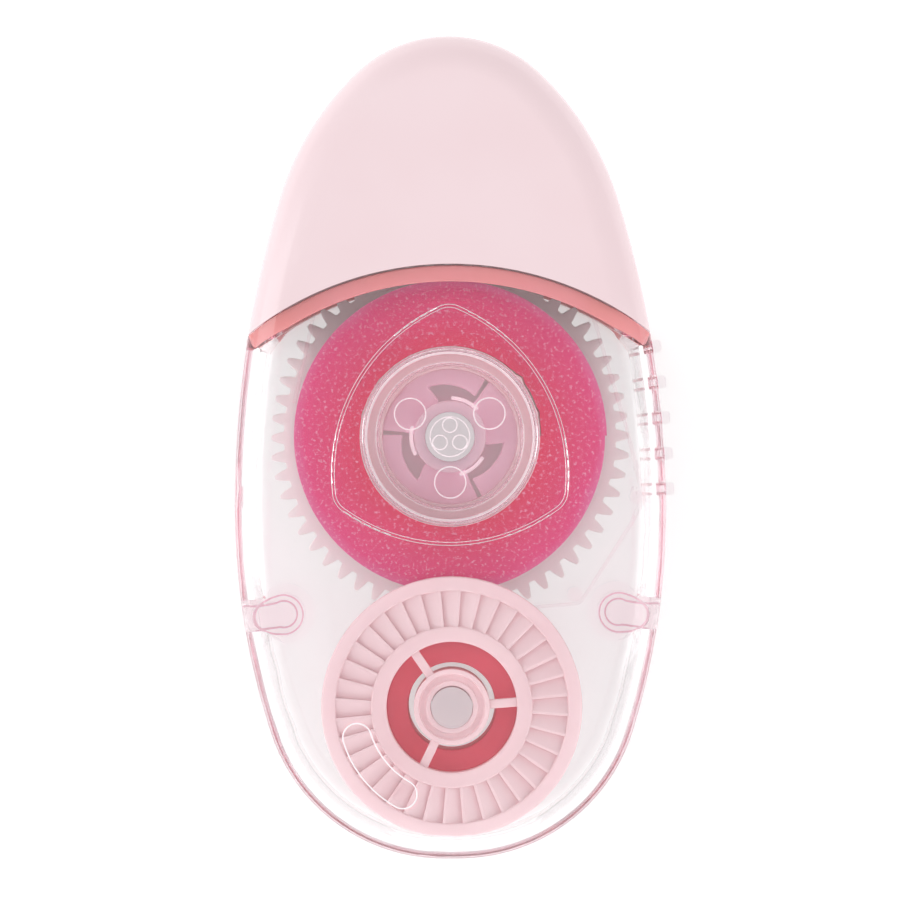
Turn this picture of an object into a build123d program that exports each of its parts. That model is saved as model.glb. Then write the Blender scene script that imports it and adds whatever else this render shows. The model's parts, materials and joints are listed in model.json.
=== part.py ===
from build123d import *
import os
from math import acos, asin, atan2, cos, degrees, hypot, pi, radians, sin, sqrt, tan

os.makedirs("parts", exist_ok=True)

# A refill-less tape roller that lies on its back: +Z comes out of its front face, +Y runs along
# it towards the cap, and the origin is on the rear face under the middle of the case.
# All sizes are in millimetres.

# Case
overall_length = 68.0
overall_width = 35.7
overall_thickness = 17.0
widest_below_middle = 5.2      # the egg is widest a little nearer its tail
nose_fullness = 1.3534         # radius at the tip over that of an ellipse of the same size
shoulder_fullness = 1.3445     # radius over half the width
side_fullness = 1.215          # radius over that of a plain two-arc nose
tail_fullness = 3.163          # radius at the tip over that of an ellipse
hip_fullness = 0.8403          # radius over half the width
flank_fullness = 1.2911        # radius over that of an ellipse
edge_radius = 3.0
case_wall = 1.1

# Cap and the neck that it covers
cap_wall = 1.0
cap_gap = 0.15                 # between the cap's inside and the neck
cap_arc_radius = 27.0          # the cap ends in an arc about a point on the long axis
cap_arc_top = 15.1
cap_seam = 0.05                # each side of the arc
neck_wall = 1.0
neck_end = 22.0
step_wall = 1.6                # thickness of the case's wall under the cap's edge

# Levels, from the rear face up
gear_floor_gap = 0.25
gear_thickness = 1.2
gear_to_roll = 0.3
tape_width = 8.4
roll_to_flange = 0.3
flange_thickness = 0.8
ratchet_depth = 0.6
ratchet_ridge_drop = 0.06      # the ridges stop this much below the flange's rims

# Wheels
tooth_module = 0.52
pressure_angle = 20.0
tooth_backlash = 0.06          # taken off the thickness of each tooth
supply_teeth = 56
take_up_teeth = 30
running_gap = 0.06             # radial clearance of a wheel on its post
roll_radius = 13.0
core_radius = 7.4
clutch_radius = 5.8            # inside of the core where the clutch fingers rub
clutch_gap = 0.05
finger_count = 3
finger_slit = 0.3              # between a finger's free end and the next one's root
finger_window_start = 56.0     # the window inside a finger, from its free end
finger_window_end = 113.0      # to its root
supply_post_radius = 2.0
supply_hub_radius = 3.0
well_radius = 7.1              # the front case's bearing for the core
well_wall = 1.2
well_overlap = 2.4             # how far the well reaches into the core
well_rounding = 0.35           # of the well's rim, foot and corners
take_up_post_radius = 1.7
take_up_hub_radius = 3.15
drum_inner_radius = 5.4
collar_height = 7.2            # of the take-up gear's collar inside the drum, above the gear
drum_radius = 6.7
winding_radius = 7.3
flange_radius = 10.8
flange_gap = 0.65              # between the flange and the case
ratchet_outer_radius = 9.6
ratchet_teeth = 36
ratchet_ridge = 0.22           # flat top of each ratchet tooth
spoke_width = 0.75
spoke_start = 4.0
spoke_count = 3

# Head
head_plate = 0.9
head_plate_gap = 0.35          # between the tape's edges and the head's plates
roller_reach = 2.2             # from the tip of the case's outline to the roller's surface
roller_radius = 2.2
sleeve_thickness = 0.7
axle_radius = 0.6
guide_pin_radius = 0.8
guide_pin_out = 8.2            # from the long axis
guide_pin_rise = 3.2           # above the head's lower edge
head_gear_gap = 1.0            # between the head and the supply gear's teeth
head_half_width = 10.4
locating_pin_radius = 0.9
locating_pin_out = 4.6
locating_pin_rise = 1.6
web_width = 5.0
web_thickness = 1.2
fit_gap = 0.05

# Tape strands
tape_thickness = 0.2
tape_gap = 0.12                # between a strand and the turning piece that it leaves
return_post_radius = 0.6
upper_post_gap = 0.65          # between the post and the supply gear's teeth
upper_post_angle = -18.2       # about the supply axis
lower_post_gap = 1.0           # between the post and the supply gear's teeth
lower_post_angle = -52.0

# Small features of the shells
boss_y = -13.7
boss_radius = 1.8
boss_foot_radius = 2.5         # of the rear shell's half of the boss
boss_inset = 0.5               # between the boss and the inside of the side wall
boss_pin_radius = 1.05
boss_pin_length = 3.2
boss_neck_width = 2.6
boss_neck_fillet = 1.2
grip_ribs = 5
grip_pitch = 2.94
grip_middle = 2.34
grip_width = 1.05
grip_proud = 0.72
grip_end_gap = 3.4             # from each face of the case to the ribs' ends
trefoil_corner_reach = 11.1
trefoil_side_reach = 9.0
trefoil_corner_radius = 2.0
trefoil_line = 0.3
trefoil_height = 0.25
trefoil_rounding = 0.13
well_mark_radius = 1.3         # the round marks of the mould's pins in the well's floor
well_mark_reach = 3.8
well_mark_depth = 0.1
well_button_radius = 1.65
well_button_height = 0.2
lobe_radius = 0.6              # a three-lobed gate mark on the button
lobe_reach = 0.95
lobe_height = 0.15
panel_length = 9.5             # a shallow oval panel in the rear face
panel_width = 2.1
panel_depth = 0.2
panel_place = (-11.3, -13.2)
panel_angle = -84.5
pawl_slot = 0.25
pawl_root_angle = 187.0
pawl_tip_angle = 250.0
pawl_tooth_length = 1.2
pawl_tooth_gap = 0.15          # above the ratchet's ridges

# Places and levels that follow from those sizes
split_level = overall_thickness / 2
nose_y = overall_length / 2
widest_y = -widest_below_middle
front_inside = overall_thickness - case_wall
neck_inset = cap_wall + cap_gap
neck_inside = neck_inset + neck_wall
cap_arc_y = cap_arc_top - cap_arc_radius
gear_bottom = neck_inside + gear_floor_gap
gear_top = gear_bottom + gear_thickness
roll_bottom = gear_top + gear_to_roll
roll_top = roll_bottom + tape_width
flange_bottom = roll_top + roll_to_flange
flange_top = flange_bottom + flange_thickness
rim_top = flange_top + ratchet_depth
centre_distance = tooth_module * (supply_teeth + take_up_teeth) / 2
take_up_y = -nose_y + case_wall + flange_gap + flange_radius
supply_y = take_up_y + centre_distance
roller_y = nose_y - roller_reach - roller_radius
well_bottom = roll_top - well_overlap
well_floor = well_bottom + case_wall
button_top = well_floor + well_button_height
supply_tip_radius = tooth_module * (supply_teeth / 2 + 1)
supply_reach = max(supply_tip_radius, roll_radius)
head_base_end = supply_y + supply_tip_radius + head_gear_gap
pin_y = head_base_end + guide_pin_rise
locating_y = head_base_end + locating_pin_rise
supply_place = (0, supply_y)
take_up_place = (0, take_up_y)
roller_place = (0, roller_y)


def polar(radius, angle):
    return (radius * cos(radians(angle)), radius * sin(radians(angle)))


# ---------------------------------------------------------------- the egg outline
def quarter_arcs(length, tip_radius, blend_radius, side_radius):
    """Three tangent arcs from the widest point (0 degrees) to the tip (90 degrees), as
    (centre x, centre y, radius, start angle, end angle), with the widest point at y = 0."""
    side_x = overall_width / 2 - side_radius
    tip_y = length - tip_radius
    to_tip = abs(blend_radius - tip_radius)
    to_side = side_radius - blend_radius
    span = hypot(side_x, tip_y)
    slope = atan2(tip_y, -side_x)
    opening = acos((to_side**2 + span**2 - to_tip**2) / (2 * to_side * span))
    turn = slope - opening if blend_radius > tip_radius else slope + opening
    blend_x = side_x + to_side * cos(turn)
    blend_y = to_side * sin(turn)
    out = 1 if tip_radius > blend_radius else -1
    tip_turn = atan2(out * (blend_y - tip_y), out * blend_x)
    return [
        (side_x, 0.0, side_radius, 0.0, degrees(turn)),
        (blend_x, blend_y, blend_radius, degrees(turn), degrees(tip_turn)),
        (0.0, tip_y, tip_radius, degrees(tip_turn), 90.0),
    ]


nose_length = nose_y - widest_y
tail_length = nose_y + widest_y
half_width = overall_width / 2
nose_radius = nose_fullness * half_width**2 / nose_length
plain_side = half_width**2 + nose_length**2 - 2 * nose_length * nose_radius
plain_side = plain_side / (2 * (half_width - nose_radius))
nose_arcs = quarter_arcs(
    nose_length,
    nose_radius,
    shoulder_fullness * half_width,
    side_fullness * plain_side,
)
tail_arcs = quarter_arcs(
    tail_length,
    tail_fullness * half_width**2 / tail_length,
    hip_fullness * half_width,
    flank_fullness * tail_length**2 / half_width,
)


def side_x(y):
    """Half the case's width at a height on its outline."""
    rise = abs(y - widest_y)
    for x, middle, radius, _, end in nose_arcs if y > widest_y else tail_arcs:
        if rise <= middle + radius * sin(radians(end)):
            return x + sqrt(radius**2 - (rise - middle) ** 2)


def egg(inset):
    with BuildSketch() as outline:
        with BuildLine():
            for arcs, up in ((nose_arcs, 1), (tail_arcs, -1)):
                for x, y, radius, start, end in arcs:
                    for right in (1, -1):
                        first = start if right > 0 else 180 - end
                        first = first if up > 0 else -first - (end - start)
                        CenterArc((right * x, widest_y + up * y), radius - inset, first, end - start)
        make_face()
    return outline.sketch


def rounded_egg(inset):
    """The case's outer form moved inwards on every side, with its edge rounding to match."""
    with BuildPart() as body:
        with BuildSketch(Plane.XY.offset(inset)):
            add(egg(inset))
        extrude(amount=overall_thickness - 2 * inset)
        rounding = max(edge_radius - inset, 0.4)
        fillet(body.faces().filter_by(Axis.Z).edges(), rounding)
    return body.part


def arc_disc(radius):
    """A drum about the centre of the cap's edge arc, taller than the case."""
    with BuildPart() as drum:
        with BuildSketch(Plane.XY.offset(-1)):
            with Locations((0, cap_arc_y)):
                Circle(radius)
        extrude(amount=overall_thickness + 2)
    return drum.part


def below_line(y):
    """Everything on the tail's side of a line across the case."""
    depth = overall_length + y
    with BuildPart() as block:
        with BuildSketch(Plane.XY.offset(-1)):
            with Locations((0, y - depth / 2)):
                Rectangle(2 * overall_width, depth)
        extrude(amount=overall_thickness + 2)
    return block.part


outer_form = rounded_egg(0)
neck_form = rounded_egg(neck_inset) & below_line(neck_end)
main_cavity = rounded_egg(case_wall) & arc_disc(cap_arc_radius - step_wall)
neck_cavity = rounded_egg(neck_inside) & below_line(neck_end + 1)


# ---------------------------------------------------------------- gears and ratchet
def gear_profile(teeth):
    """Involute spur gear outline with a tooth centred on +X, its flanks drawn as arcs."""
    pitch_radius = tooth_module * teeth / 2
    base_radius = pitch_radius * cos(radians(pressure_angle))
    tip_radius = pitch_radius + tooth_module
    root_radius = pitch_radius - 1.25 * tooth_module
    flank_start = max(root_radius, base_radius)
    half_tooth = degrees((pi * tooth_module / 2 - tooth_backlash) / (2 * pitch_radius))

    def involute(radius):
        angle = acos(min(base_radius / radius, 1))
        return degrees(tan(angle) - angle)

    def flank(radius, side):
        return polar(radius, side * (half_tooth + involute(pitch_radius) - involute(radius)))

    middle = (flank_start + tip_radius) / 2
    start_angle = half_tooth + involute(pitch_radius) - involute(flank_start)
    with BuildSketch() as tooth:
        with BuildLine():
            ThreePointArc(flank(flank_start, -1), flank(middle, -1), flank(tip_radius, -1))
            ThreePointArc(flank(tip_radius, -1), (tip_radius, 0), flank(tip_radius, 1))
            ThreePointArc(flank(tip_radius, 1), flank(middle, 1), flank(flank_start, 1))
            Polyline(
                flank(flank_start, 1),
                polar(root_radius - 0.2, start_angle),
                polar(root_radius - 0.2, -start_angle),
                flank(flank_start, -1),
            )
        make_face()
    with BuildSketch() as profile:
        Circle(root_radius)
        with PolarLocations(0, teeth):
            add(tooth.sketch)
    return profile.sketch


def ratchet_tooth():
    """One ramp of the ratchet: a ridge on its clockwise side, falling away anticlockwise."""
    height = ratchet_depth - ratchet_ridge_drop
    inner = drum_radius - 0.05
    outer = ratchet_outer_radius + 0.05
    with BuildPart() as ramp:
        for radius in (inner, outer):
            half = radius * tan(pi / ratchet_teeth)
            plane = Plane(origin=(radius, 0, flange_top - 0.1), x_dir=(0, 1, 0), z_dir=(1, 0, 0))
            with BuildSketch(plane):
                with BuildLine():
                    Polyline(
                        (-half, 0),
                        (-half, height + 0.1),
                        (-half + ratchet_ridge, height + 0.1),
                        (half, 0.12),
                        (half, 0),
                        close=True,
                    )
                make_face()
        loft()
    return ramp.part


# ---------------------------------------------------------------- tape path
def tangent_run(wheel_a, wheel_b):
    """The straight run between two wheels, each (x, y, radius, side): side is 1 where the tape
    turns anticlockwise round the wheel and -1 where it turns clockwise."""
    ax, ay, ar, a_side = wheel_a
    bx, by, br, b_side = wheel_b
    span = hypot(bx - ax, by - ay)
    heading = atan2(by - ay, bx - ax) - asin((b_side * br - a_side * ar) / span)
    normal = (-sin(heading), cos(heading))
    start = (ax - a_side * ar * normal[0], ay - a_side * ar * normal[1])
    end = (bx - b_side * br * normal[0], by - b_side * br * normal[1])
    return start, end


def wrap(wheel, start, end):
    """The arc of tape on one wheel, from one tangent point to the next."""
    x, y, radius, side = wheel
    first = degrees(atan2(start[1] - y, start[0] - x))
    last = degrees(atan2(end[1] - y, end[0] - x))
    sweep = (side * (last - first)) % 360
    CenterArc((x, y), radius, first, side * sweep)


def ribbon(wheels, first_point=None, last_point=None):
    """A strand of tape over a row of wheels, as a closed strip standing on its edge."""
    runs = [tangent_run(a, b) for a, b in zip(wheels, wheels[1:])]
    with BuildPart() as strip:
        with BuildSketch(Plane.XY.offset(roll_bottom)):
            with BuildLine() as centre_line:
                if first_point:
                    wrap(wheels[0], first_point, runs[0][0])
                for start, end in runs:
                    Line(start, end)
                for wheel, before, after in zip(wheels[1:], runs, runs[1:]):
                    wrap(wheel, before[1], after[0])
                if last_point:
                    wrap(wheels[-1], runs[-1][1], last_point)
            trace(centre_line.edges(), tape_thickness)
        extrude(amount=tape_width)
    return strip.part


def beside_supply(reach, angle):
    """A place given by its distance and direction from the supply axis."""
    x, y = polar(reach, angle)
    return (x, supply_y + y)


return_post_places = [
    beside_supply(supply_reach + upper_post_gap + return_post_radius, upper_post_angle),
    beside_supply(supply_reach + lower_post_gap + return_post_radius, lower_post_angle),
]
strand_offset = tape_gap + tape_thickness / 2
roll_wheel = (0, supply_y, roll_radius + strand_offset, -1)
feed_pin_wheel = (-guide_pin_out, pin_y, guide_pin_radius + strand_offset, -1)
roller_wheel = (0, roller_y, roller_radius + strand_offset, -1)
return_pin_wheel = (guide_pin_out, pin_y, guide_pin_radius + strand_offset, -1)
return_post_wheels = [(x, y, return_post_radius + strand_offset, -1) for x, y in return_post_places]
winding_wheel = (0, take_up_y, winding_radius + strand_offset, 1)
roller_top = (0, roller_y + roller_radius + strand_offset)


# ---------------------------------------------------------------- details shared by the shells
boss_x = side_x(boss_y) - case_wall - boss_inset - boss_radius


def grip(bottom, top):
    """The row of grip ribs on the right side, between two levels."""
    with BuildPart() as ribs:
        for index in range(grip_ribs):
            y = grip_middle + (index - (grip_ribs - 1) / 2) * grip_pitch
            lean = degrees(asin((y - widest_y) / nose_arcs[0][2]))
            with BuildSketch(Plane.XY.offset(bottom)):
                with Locations(Location((side_x(y), y), lean)):
                    RectangleRounded(2 * grip_proud, grip_width, 0.3)
            extrude(amount=top - bottom)
    return ribs.part - rounded_egg(case_wall / 2)


def joining_bosses(radius, bottom, top):
    """The two bosses that join the shells, each on a neck that flares into the side wall."""
    neck_start = boss_x + sqrt(radius**2 - (boss_neck_width / 2) ** 2)
    with BuildPart() as bosses:
        for right in (1, -1):
            with BuildSketch(Plane.XY.offset(bottom)) as section:
                with Locations((right * boss_x, boss_y)):
                    Circle(radius)
                with Locations((right * (boss_x + 2), boss_y)):
                    Rectangle(4, boss_neck_width)
                corners = section.vertices().filter_by(lambda v: abs(abs(v.X) - neck_start) < 0.01)
                fillet(corners, boss_neck_fillet)
            extrude(amount=top - bottom)
    return bosses.part & rounded_egg(case_wall / 2)


def pins(places, radius, bottom, top):
    """Round pins or, taken away, round holes, between two levels."""
    with BuildPart() as group:
        with BuildSketch(Plane.XY.offset(bottom)):
            with Locations(*places):
                Circle(radius)
        extrude(amount=top - bottom)
    return group.part


boss_places = [(side * boss_x, boss_y) for side in (1, -1)]
locating_places = [(side * locating_pin_out, locating_y) for side in (1, -1)]
guide_places = [(side * guide_pin_out, pin_y) for side in (1, -1)]
well_mark_places = [beside_supply(well_mark_reach, angle) for angle in (30, 150, 270)]
lobe_places = [beside_supply(lobe_reach, angle) for angle in (90, 210, 330)]
well_pin_radius = 1.2
well_pin_length = 3.0
post_top = well_bottom - fit_gap
take_up_post_top = rim_top

# ---------------------------------------------------------------- rear shell
with BuildPart() as rear_shell:
    add(outer_form & arc_disc(cap_arc_radius - cap_seam))
    add(neck_form)
    add(main_cavity, mode=Mode.SUBTRACT)
    add(neck_cavity, mode=Mode.SUBTRACT)
    split(bisect_by=Plane.XY.offset(split_level), keep=Keep.BOTTOM)
    add(joining_bosses(boss_foot_radius, case_wall, split_level))
    add(grip(grip_end_gap, split_level))
    add(pins([supply_place], supply_post_radius, case_wall / 2, post_top))
    add(pins([supply_place], supply_hub_radius, case_wall / 2, gear_bottom - fit_gap))
    add(pins([take_up_place], take_up_post_radius, case_wall / 2, take_up_post_top))
    add(pins([take_up_place], take_up_hub_radius, case_wall / 2, gear_bottom - fit_gap))
    add(pins(return_post_places, return_post_radius, case_wall / 2, roll_top + tape_gap))
    add(pins(locating_places, locating_pin_radius, neck_inset + 0.2, roll_bottom - tape_gap))
    add(
        pins(boss_places, boss_pin_radius + fit_gap, split_level - boss_pin_length - 0.3, split_level),
        mode=Mode.SUBTRACT,
    )
    add(
        pins([supply_place], well_pin_radius + fit_gap, post_top - well_pin_length - 0.3, post_top),
        mode=Mode.SUBTRACT,
    )
    with BuildSketch():
        with Locations(Location(panel_place, panel_angle)):
            SlotOverall(panel_length, panel_width)
    extrude(amount=panel_depth, mode=Mode.SUBTRACT)
rear_shell.part.label = "rear_shell"

# ---------------------------------------------------------------- front shell
slot_inner = drum_radius + 0.05
slot_outer = ratchet_outer_radius


def arc_pad(inner, outer, start, end, bottom, top):
    """A curved pad with round ends about the take-up axis, between two levels."""
    middle = (inner + outer) / 2
    with BuildPart() as pad:
        with BuildSketch(Plane.XY.offset(bottom)):
            with BuildLine() as centre:
                CenterArc(take_up_place, middle, start, end - start)
            trace(centre.edges(), outer - inner)
            with Locations(*[centre.line @ 0, centre.line @ 1]):
                Circle((outer - inner) / 2)
        extrude(amount=top - bottom)
    return pad.part


with BuildPart() as trefoil:
    corners = [polar(trefoil_corner_reach, 90 + 120 * k) for k in range(4)]
    sides = [polar(trefoil_side_reach, 150 + 120 * k) for k in range(3)]
    with BuildSketch(Plane.XY.offset(front_inside - trefoil_height)) as section:
        with BuildLine():
            for k in range(3):
                ThreePointArc(corners[k], sides[k], corners[k + 1])
        make_face()
        fillet(section.vertices(), trefoil_corner_radius)
        offset(amount=-trefoil_line, mode=Mode.SUBTRACT)
    extrude(amount=trefoil_height + 0.1)
    fillet(trefoil.faces().sort_by(Axis.Z)[0].edges(), trefoil_rounding)
trefoil_rib = Pos(0, supply_y) * trefoil.part



def on_well(edge):
    """Whether a round edge is one of the well's four: its rim, its foot or a corner of its wall."""
    centre = edge.arc_center
    near = hypot(centre.X, centre.Y - supply_y) < 0.01
    return near and edge.radius > well_radius - well_wall - 0.01 and edge.radius < well_radius + 0.01


with BuildPart() as front_shell:
    add(outer_form & arc_disc(cap_arc_radius - cap_seam))
    add(neck_form)
    add(main_cavity, mode=Mode.SUBTRACT)
    add(neck_cavity, mode=Mode.SUBTRACT)
    split(bisect_by=Plane.XY.offset(split_level), keep=Keep.TOP)
    add(joining_bosses(boss_radius, split_level, front_inside))
    add(pins(boss_places, boss_pin_radius, split_level - boss_pin_length, split_level + 1))
    add(grip(split_level, overall_thickness - grip_end_gap))
    add(trefoil_rib)
    add(pins([supply_place], well_radius, well_bottom, front_inside + 0.2))
    add(
        pins([supply_place], well_radius - well_wall, well_floor, overall_thickness + 1),
        mode=Mode.SUBTRACT,
    )
    round_well = front_shell.edges().filter_by(GeomType.CIRCLE).filter_by(on_well)
    fillet(round_well, well_rounding)
    add(
        pins(well_mark_places, well_mark_radius, well_floor - well_mark_depth, well_floor + 1),
        mode=Mode.SUBTRACT,
    )
    add(pins([supply_place], well_button_radius, well_floor - 0.2, button_top))
    add(pins(lobe_places, lobe_radius, button_top - 0.1, button_top + lobe_height))
    add(pins([supply_place], well_pin_radius, post_top - well_pin_length, well_bottom + 0.2))
    add(pins([take_up_place], take_up_post_radius, take_up_post_top + fit_gap, front_inside + 0.2))
    add(
        pins(
            locating_places,
            locating_pin_radius,
            roll_top + tape_gap,
            overall_thickness - neck_inset - 0.2,
        )
    )
    add(
        arc_pad(
            slot_inner,
            slot_outer,
            pawl_root_angle + 10,
            pawl_tip_angle - 10,
            front_inside - 1,
            overall_thickness + 1,
        ),
        mode=Mode.SUBTRACT,
    )
front_shell.part.label = "front_shell"

# ---------------------------------------------------------------- ratchet pawl
# A tongue of the front shell, cut free by a narrow slot and thinned at its root, which bends there.
pawl_hinge_angle = pawl_root_angle + 12
pawl_tooth_angle = pawl_tip_angle - 13
with BuildPart() as ratchet_pawl:
    add(
        arc_pad(
            slot_inner + pawl_slot,
            slot_outer - pawl_slot,
            pawl_root_angle + 10,
            pawl_tip_angle - 10,
            front_inside,
            overall_thickness,
        )
    )
    tooth_bottom = rim_top - ratchet_ridge_drop + pawl_tooth_gap
    tooth_width = slot_outer - slot_inner - 2 * pawl_slot - 0.9
    tooth_x, tooth_y = polar((slot_inner + slot_outer) / 2, pawl_tooth_angle)
    with BuildSketch(Plane.XY.offset(tooth_bottom)):
        with Locations(Location((tooth_x, take_up_y + tooth_y), pawl_tooth_angle)):
            RectangleRounded(tooth_width, pawl_tooth_length, 0.25)
    extrude(amount=front_inside - tooth_bottom + 0.2)
ratchet_pawl.part.label = "ratchet_pawl"

# ---------------------------------------------------------------- cap
with BuildPart() as cap:
    add(outer_form)
    add(rounded_egg(cap_wall), mode=Mode.SUBTRACT)
    add(arc_disc(cap_arc_radius + cap_seam), mode=Mode.SUBTRACT)
cap.part.label = "cap"

# ---------------------------------------------------------------- supply side
finger_bottom = roll_bottom + 0.4
finger_top = roll_bottom + tape_width / 2 - 0.6
finger_reach = clutch_radius - clutch_gap
window_inside = supply_hub_radius + 0.15
window_middle = (finger_window_start + finger_window_end) / 2
with BuildSketch() as clutch_window:
    with BuildLine():
        free_end = polar(window_inside + 0.8, finger_window_start)
        root_end = polar(window_inside + 1.35, finger_window_end)
        inner_end = polar(window_inside, finger_window_end - 6)
        inner_start = polar(window_inside, finger_window_start)
        ThreePointArc(inner_start, polar(window_inside, window_middle), inner_end)
        Line(inner_end, root_end)
        ThreePointArc(root_end, polar(window_inside + 1.15, window_middle), free_end)
        Line(free_end, inner_start)
    make_face()
    with Locations(Location(polar(finger_reach, finger_window_start), finger_window_start)):
        Rectangle(2 * (finger_reach - window_inside) - 1.2, finger_slit)

with BuildPart() as supply_gear:
    with BuildSketch(Plane.XY.offset(gear_bottom)):
        with Locations(supply_place):
            add(gear_profile(supply_teeth))
    extrude(amount=gear_thickness)
    with BuildSketch(Plane.XY.offset(gear_bottom)):
        with Locations(supply_place):
            Circle(supply_hub_radius)
    extrude(amount=post_top - 0.4 - gear_bottom)
    with BuildSketch(Plane.XY.offset(finger_bottom)):
        with Locations(supply_place):
            Circle(finger_reach)
            with PolarLocations(0, finger_count):
                add(clutch_window.sketch, mode=Mode.SUBTRACT)
    extrude(amount=finger_top - finger_bottom)
    add(
        pins([supply_place], supply_post_radius + running_gap, gear_bottom - 1, post_top),
        mode=Mode.SUBTRACT,
    )
supply_gear.part.label = "supply_gear"

with BuildPart() as supply_core:
    add(pins([supply_place], core_radius, roll_bottom, roll_top))
    add(pins([supply_place], clutch_radius, roll_bottom - 1, roll_top), mode=Mode.SUBTRACT)
    add(
        pins([supply_place], well_radius + running_gap, well_bottom - 0.3, roll_top + 1),
        mode=Mode.SUBTRACT,
    )
supply_core.part.label = "supply_core"

with BuildPart() as tape_roll:
    add(pins([supply_place], roll_radius, roll_bottom, roll_top))
    add(pins([supply_place], core_radius, roll_bottom - 1, roll_top + 1), mode=Mode.SUBTRACT)
tape_roll.part.label = "tape_roll"

# ---------------------------------------------------------------- take-up side
with BuildPart() as take_up_reel:
    add(pins([take_up_place], drum_radius, roll_bottom, rim_top))
    add(pins([take_up_place], flange_radius, flange_bottom, rim_top))
    add(pins([take_up_place], ratchet_outer_radius, flange_top, rim_top + 1), mode=Mode.SUBTRACT)
    add(pins([take_up_place], drum_radius, roll_bottom, rim_top))
    add(pins([take_up_place], drum_inner_radius, roll_bottom - 1, rim_top + 1), mode=Mode.SUBTRACT)
    add(pins([take_up_place], take_up_hub_radius, gear_top + fit_gap, rim_top))
    with BuildSketch(Plane.XY.offset(flange_bottom)):
        with Locations(take_up_place):
            for k in range(spoke_count):
                angle = spoke_start + 360 * k / spoke_count
                with Locations(Location(polar((take_up_hub_radius + drum_inner_radius) / 2, angle), angle)):
                    Rectangle(drum_inner_radius - take_up_hub_radius + 0.4, spoke_width)
    extrude(amount=rim_top - flange_bottom - 0.3)
    ramp = ratchet_tooth()
    with Locations(take_up_place):
        with PolarLocations(0, ratchet_teeth):
            add(ramp)
    add(
        pins([take_up_place], take_up_post_radius + running_gap, gear_bottom - 1, rim_top + 1),
        mode=Mode.SUBTRACT,
    )
take_up_reel.part.label = "take_up_reel"

with BuildPart() as take_up_gear:
    with BuildSketch(Plane.XY.offset(gear_bottom)):
        with Locations(take_up_place):
            add(gear_profile(take_up_teeth))
    extrude(amount=gear_thickness)
    with BuildSketch(Plane.XY.offset(gear_bottom)):
        with Locations(take_up_place):
            Circle(drum_inner_radius)
            Circle(take_up_hub_radius + 0.5, mode=Mode.SUBTRACT)
    extrude(amount=gear_thickness + gear_to_roll + collar_height)
    add(
        pins([take_up_place], take_up_post_radius + running_gap, gear_bottom - 1, roll_top),
        mode=Mode.SUBTRACT,
    )
take_up_gear.part.label = "take_up_gear"

with BuildPart() as leader_winding:
    add(pins([take_up_place], winding_radius, roll_bottom, roll_top))
    add(pins([take_up_place], drum_radius, roll_bottom - 1, roll_top + 1), mode=Mode.SUBTRACT)
leader_winding.part.label = "leader_winding"

# ---------------------------------------------------------------- tape strands
feed_strand_solid = ribbon([roll_wheel, feed_pin_wheel, roller_wheel], last_point=roller_top)
return_strand_solid = ribbon(
    [roller_wheel, return_pin_wheel, *return_post_wheels, winding_wheel],
    first_point=roller_top,
)
with BuildPart() as feed_strand:
    add(feed_strand_solid)
feed_strand.part.label = "feed_strand"
with BuildPart() as return_strand:
    add(return_strand_solid)
return_strand.part.label = "return_strand"

# ---------------------------------------------------------------- head
plate_reach = roller_y + roller_radius - 0.5


def head_outline():
    """The head's plate: wide where it sits in the neck, narrowing to the roller."""
    nose_half = roller_radius - 0.5
    with BuildSketch() as outline:
        with BuildLine():
            base = [(-head_half_width, head_base_end), (head_half_width, head_base_end)]
            Polyline(
                (-nose_half, roller_y),
                (-head_half_width, pin_y + 0.6),
                *base,
                (head_half_width, pin_y + 0.6),
                (nose_half, roller_y),
            )
            ThreePointArc((nose_half, roller_y), (0, plate_reach), (-nose_half, roller_y))
        make_face()
        fillet(outline.vertices().filter_by(lambda v: v.Y < roller_y - 1), 1.2)
    return outline.sketch


rear_plate_top = roll_bottom - head_plate_gap
front_plate_bottom = roll_top + head_plate_gap
with BuildPart() as head_base:
    with BuildSketch(Plane.XY.offset(rear_plate_top - head_plate)):
        add(head_outline())
    extrude(amount=head_plate)
    add(pins(guide_places, guide_pin_radius, rear_plate_top - 0.2, front_plate_bottom))
    add(pins(guide_places, guide_pin_radius / 2, front_plate_bottom - 0.2, front_plate_bottom + head_plate))
    with BuildSketch(Plane.XY.offset(rear_plate_top - 0.2)):
        with Locations((0, pin_y)):
            RectangleRounded(web_width, web_thickness, 0.4)
    extrude(amount=front_plate_bottom - rear_plate_top + 0.2)
    axle_hole = pins([(0, roller_y)], axle_radius, -1, overall_thickness)
    add(axle_hole, mode=Mode.SUBTRACT)
    add(pins(locating_places, locating_pin_radius + fit_gap, 0, roll_bottom), mode=Mode.SUBTRACT)
head_base.part.label = "head_base"

with BuildPart() as head_cover:
    with BuildSketch(Plane.XY.offset(front_plate_bottom)):
        add(head_outline())
    extrude(amount=head_plate)
    add(
        pins(guide_places, guide_pin_radius / 2, front_plate_bottom - 1, overall_thickness),
        mode=Mode.SUBTRACT,
    )
    add(axle_hole, mode=Mode.SUBTRACT)
    add(
        pins(locating_places, locating_pin_radius + fit_gap, roll_top, overall_thickness),
        mode=Mode.SUBTRACT,
    )
head_cover.part.label = "head_cover"

with BuildPart() as roller_axle:
    add(pins([roller_place], axle_radius, rear_plate_top - head_plate, front_plate_bottom + head_plate))
    chamfer(roller_axle.edges().filter_by(GeomType.CIRCLE), 0.12)
roller_axle.part.label = "roller_axle"

roller_bottom = rear_plate_top + 0.15
roller_top_level = front_plate_bottom - 0.15
core_outer = roller_radius - sleeve_thickness
with BuildPart() as roller_core:
    add(pins([roller_place], core_outer, roller_bottom, roller_top_level))
    add(pins([roller_place], axle_radius + running_gap, 0, overall_thickness), mode=Mode.SUBTRACT)
roller_core.part.label = "roller_core"

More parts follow.
